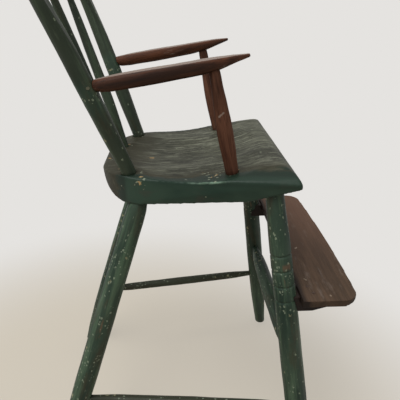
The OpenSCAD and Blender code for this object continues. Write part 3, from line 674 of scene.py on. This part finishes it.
def knocked_off(vertex, place):
    """Chips lie thickest round the sockets, along the rim, at the back and where knocks have met."""
    behind = vertex.co.y - SEAT_MIDDLE
    rim = half_width(behind) - abs(vertex.co.x)
    upper = soft_step(vertex.co.z - underside(behind), 0.024, 0.032)
    nearest = min((vertex.co - socket).length for socket in SOCKETS)
    return (0.75 * bump(nearest, 0.012, 0.012)
            + 0.5 * upper * bump(rim, 0.008, 0.014) * bump(behind, -0.02, 0.10)
            + 0.5 * soft_step(behind, 0.10, 0.135) + 0.03
            + 6 * max(bump((vertex.co - knock).length, 0.0, 0.011) for knock in KNOCKS))


seat = rubbed_copy("seat_plank_worn", "seat", quad=0.0018, passes=5, patch=0.07, depth=0.0009)
# the scooped part of both upper edges is rubbed softer than the rest
soft_rims = seat.vertex_groups.new(name="soft rims")
for vertex in seat.data.vertices:
    behind = vertex.co.y - SEAT_MIDDLE
    rim = half_width(behind) - abs(vertex.co.x)
    upper = soft_step(vertex.co.z - underside(behind), 0.014, 0.022)
    soft_rims.add([vertex.index], upper * bump(rim, 0.012, 0.024) * bump(behind, -0.085, 0.055), "REPLACE")
apply_modifier(seat, "SMOOTH", factor=0.5, iterations=26, vertex_group="soft rims")
mark(seat, Vector((0, 0, SEAT_UNDER)), Vector((0, 1, SEAT_UNDER)), 0, sat_on, knocked_off)
place_in_chair(seat, "seat_paint", "seat")

# %% The crest rail, arms and arm posts
crest = rubbed_copy("crest_rail_worn", "crest_rail", quad=0.0013, passes=4, patch=0.05, depth=0.0008)
mark(crest, Vector((-1, 0, 0.8)), Vector((0, 0, 0.8)), 1,
     lambda v, p: 0.8 * soft_step(v.normal.z, 0.5, 0.9), 0.3)
place_in_chair(crest, "green_paint", "crest_rail")

ARM_POST_R = 0.0111
SCRATCH_START = Vector((-0.1238, -0.0397, 0.6545))
SCRATCH_END = Vector((-0.1249, -0.0452, 0.6600))


def scratched(point):
    """The distance to the pale scratch on the near arm post."""
    along = SCRATCH_END - SCRATCH_START
    share = min(max((point - SCRATCH_START).dot(along) / along.length_squared, 0.0), 1.0)
    return (point - SCRATCH_START - along * share).length


for number, (side, place) in enumerate(SIDES):
    arm = rubbed_copy(f"arm_{side}_worn", f"arm_{side}", quad=0.0010, passes=5, patch=0.04, depth=0.0010)
    start = place(arm_back)
    # the upward faces are painted pale: rubbed wood with a painted highlight along the top
    mark(arm, start, start + arm_way, 3 + number,
         lambda v, p: 1.3 * soft_step(v.normal.z, 0.91, 0.985), 0.06)
    place_in_chair(arm, "brown_wood", f"arm_{side}")

    foot, head = place(arm_post_foot), place(arm_post_head)
    n, r = (head - foot).length, ARM_POST_R
    rings = [(-0.0174, 0.6 * r), (-0.0050, 0.6 * r), (-0.0049, 0.88 * r)]
    rings += outline([(0.010, 0.88 * r), (0.28 * n, r), (0.5 * n, 0.97 * r), (0.72 * n, 0.83 * r),
                      (n - 0.016, 0.68 * r)], 0.004)
    rings += [(n + 0.0028, 0.68 * r), (n + 0.0029, 0.46 * r), (n + 0.009, 0.46 * r)]
    arm_post = turn(f"arm_post_{side}_turned", foot, head, rings, 32)
    uneven(arm_post, 0.03, 0.0008)
    mark(arm_post, foot, head, 15 + number,
         lambda v, p: 4 * bump(scratched(v.co), 0.0, 0.0018) - 0.36 * soft_step(p.z / n, 0.35, 0.9),
         lambda v, p: 0.12 + 0.6 * bump(p.z, 0.0, 0.02))
    place_in_chair(arm_post, "post_wood", f"arm_post_{side}")

# %% The footrest and its brackets
board = rubbed_copy("footrest_board_worn", "footrest", quad=0.0014, passes=4, patch=0.05, depth=0.0008)
# its sideways edges and its rear strip under the seat, between the legs, are painted darker as painted shade
board_rear = max(v.co.y for v in board.data.vertices)
mark(board, Vector((-1, 0, BOARD_TOP)), Vector((0, 0, BOARD_TOP)), 2,
     lambda v, p: (0.2 - 0.65 * soft_step(0.8 - v.normal.z, 0.0, 0.4)
                   - soft_step(v.co.y, board_rear - 0.015, board_rear)), 0.04)
place_in_chair(board, "board_wood", "footrest")
for number, (side, place) in enumerate(SIDES):
    bracket = rubbed_copy(f"footrest_bracket_{side}_worn", f"footrest_bracket_{side}",
                          quad=0.0010, passes=3, patch=0.03, depth=0.0006)
    # painted shade: the brackets under the seat are painted nearly black
    mark(bracket, Vector((0, 0, 0.37)), Vector((0, -1, 0.37)), 17 + number, -0.9)
    place_in_chair(bracket, "brown_wood", f"footrest_bracket_{side}")

# %% [markdown]
# ## Pegs and nails
#
# The small fastenings keep their exact solids and only get a finish. Object coordinates are enough
# for them, because they are too small to show any grain.

# %% Finish the fastenings
def small_finish(name, dark, light, roughness, metallic):
    material = bpy.data.materials.new(name)
    material.use_nodes = True
    nodes, links = material.node_tree.nodes, material.node_tree.links
    shader = nodes["Principled BSDF"]
    shader.inputs["Roughness"].default_value = roughness
    shader.inputs["Metallic"].default_value = metallic
    place = nodes.new("ShaderNodeTexCoord")
    speck = nodes.new("ShaderNodeTexNoise")
    speck.inputs["Scale"].default_value = 600
    mix = nodes.new("ShaderNodeMix")
    mix.data_type = "RGBA"
    mix.inputs[6].default_value, mix.inputs[7].default_value = dark, light
    links.new(place.outputs["Object"], speck.inputs["Vector"])
    links.new(speck.outputs["Fac"], mix.inputs[0])
    links.new(mix.outputs[2], shader.inputs["Base Color"])
    return material


nail_iron = small_finish("nail iron", tint(36, 32, 30), tint(84, 60, 46), 0.55, 0.5)
peg_end = small_finish("peg ends", tint(52, 58, 46), tint(110, 104, 82), 0.7, 0.0)
for node, finish in (("footrest_nails", nail_iron), ("bracket_nails", nail_iron), ("crest_pegs", peg_end),
                     ("arm_pegs", peg_end)):
    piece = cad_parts[node]
    piece.data.materials.clear()
    piece.data.materials.append(finish)
print("fastenings finished")

# %% [markdown]
# ## The studio
#
# A plain pale floor that runs to the horizon, a wide soft lamp overhead and a little towards the
# camera's left, and a pale world that fills the shadows. Seen directly, the floor fades from a warm
# grey under the chair to the near white of the world, so that no line crosses the picture. It does
# so by a glow that only such rays meet. The chair is lit by the lamp, the world and the floor's
# own colour.

# %% Floor and light
clear_bench()
bpy.ops.mesh.primitive_plane_add(size=80, location=(0, 0, 0))
floor = bpy.context.object
floor.name = "pale floor"
pale = bpy.data.materials.new("pale floor cloth")
pale.use_nodes = True
FAR_WHITE, WARM_GREY = tint(229, 227, 224), tint(164, 146, 112)
WARM_SPOT, WARM_REACH, WHITE_FROM = (-0.15, 0.15, 0.0), 0.38, 0.95
LAMP_AT, LAMP_SIZE, LAMP_POWER = Vector((-0.7, 0.9, 2.6)), 1.8, 60


def seen_directly(tree):
    """1 for camera, glossy and transmission rays, and 0 for those that light the chair."""
    rays = tree.nodes.new("ShaderNodeLightPath")
    total = rays.outputs["Is Camera Ray"]
    for name in ("Is Glossy Ray", "Is Transmission Ray"):
        more = tree.nodes.new("ShaderNodeMath")
        more.use_clamp = True
        tree.links.new(total, more.inputs[0])
        tree.links.new(rays.outputs[name], more.inputs[1])
        total = more.outputs[0]
    return total


tree = pale.node_tree
cloth = tree.nodes["Principled BSDF"]
cloth.inputs["Base Color"].default_value = tint(197, 186, 164)
cloth.inputs["Roughness"].default_value = 0.95
place = tree.nodes.new("ShaderNodeTexCoord")
away = tree.nodes.new("ShaderNodeVectorMath")
away.operation = "DISTANCE"
away.inputs[1].default_value = WARM_SPOT
fade = tree.nodes.new("ShaderNodeMapRange")
fade.interpolation_type = "SMOOTHSTEP"
fade.inputs["From Min"].default_value, fade.inputs["From Max"].default_value = WARM_REACH, WHITE_FROM
fade.inputs["To Min"].default_value, fade.inputs["To Max"].default_value = 0.60, 1.0
warmth = tree.nodes.new("ShaderNodeMix")
warmth.data_type = "RGBA"
warmth.inputs[6].default_value, warmth.inputs[7].default_value = WARM_GREY, FAR_WHITE
glow = tree.nodes.new("ShaderNodeEmission")
amount = tree.nodes.new("ShaderNodeMath")
amount.operation = "MULTIPLY"
laid = tree.nodes.new("ShaderNodeMixShader")
wires = ((place.outputs["Object"], away.inputs[0]), (away.outputs["Value"], fade.inputs["Value"]),
         (fade.outputs[0], warmth.inputs[0]), (warmth.outputs[2], glow.inputs["Color"]),
         (fade.outputs[0], amount.inputs[0]), (seen_directly(tree), amount.inputs[1]),
         (amount.outputs[0], laid.inputs[0]), (cloth.outputs[0], laid.inputs[1]),
         (glow.outputs[0], laid.inputs[2]),
         (laid.outputs[0], tree.nodes["Material Output"].inputs[0]))
for start, end in wires:
    tree.links.new(start, end)
floor.data.materials.append(pale)

bpy.ops.object.light_add(type="AREA", location=LAMP_AT)
key = bpy.context.object
key.name = "wide soft lamp"
key.data.size = LAMP_SIZE
key.data.energy = LAMP_POWER
key.rotation_euler = (Vector((0, 0, 0.5)) - key.location).to_track_quat("-Z", "Y").to_euler()

world = bpy.data.worlds.new("pale studio")
world.use_nodes = True
sky, links = world.node_tree.nodes, world.node_tree.links
for_light = sky["Background"]
for_light.inputs["Color"].default_value = (0.95, 0.97, 1.0, 1)
for_light.inputs["Strength"].default_value = 0.55
for_camera = sky.new("ShaderNodeBackground")
for_camera.inputs["Color"].default_value = FAR_WHITE
either = sky.new("ShaderNodeMixShader")
links.new(seen_directly(world.node_tree), either.inputs[0])
links.new(for_light.outputs[0], either.inputs[1])
links.new(for_camera.outputs[0], either.inputs[2])
links.new(either.outputs[0], sky["World Output"].inputs["Surface"])
bpy.context.scene.world = world
bpy.context.scene.view_settings.view_transform = "Standard"
